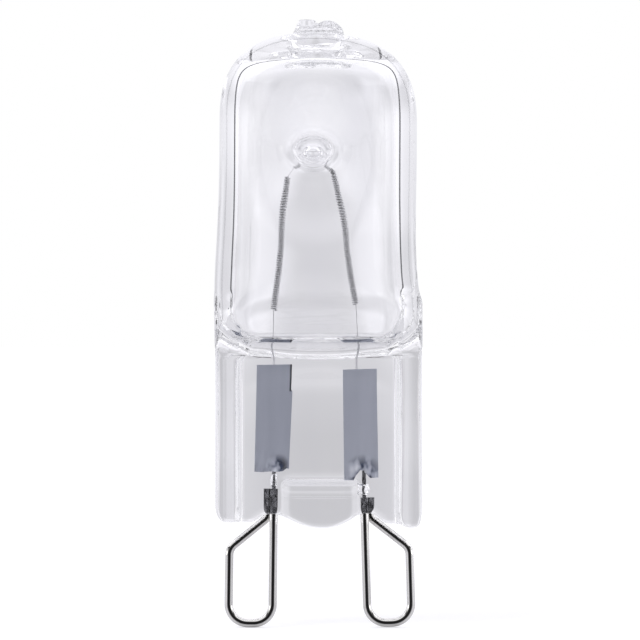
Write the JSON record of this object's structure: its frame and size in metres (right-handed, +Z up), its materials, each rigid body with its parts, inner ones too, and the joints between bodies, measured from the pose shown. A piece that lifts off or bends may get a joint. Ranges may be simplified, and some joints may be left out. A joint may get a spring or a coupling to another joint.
{
  "type": "halogen capsule bulb",
  "caption": "Clear quartz halogen capsule bulb with a sealed exhaust tip, coiled filament, flat pressed foot with sealing foils, and looped wire pins.",
  "frame": {"origin": "middle of the pressed foot, at the lower end of its side rail", "axes": "+Z up along the bulb towards the exhaust tip; +X across the flat foot, to the right seen from the front; the front faces -Y"},
  "size_m": [0.0143, 0.014, 0.0415],
  "materials": {
    "quartz": "gloss",
    "tungsten": "satin",
    "lead_wire": "satin",
    "sealing_foil": "satin",
    "pin_wire": "gloss"
  },
  "bodies": {
    "root": {"quartz_envelope": "quartz", "filament": "tungsten", "left_inner_lead": "lead_wire", "right_inner_lead": "lead_wire", "left_foil": "sealing_foil", "right_foil": "sealing_foil", "left_pin_loop": "pin_wire", "right_pin_loop": "pin_wire"}
  },
  "joints": []
}
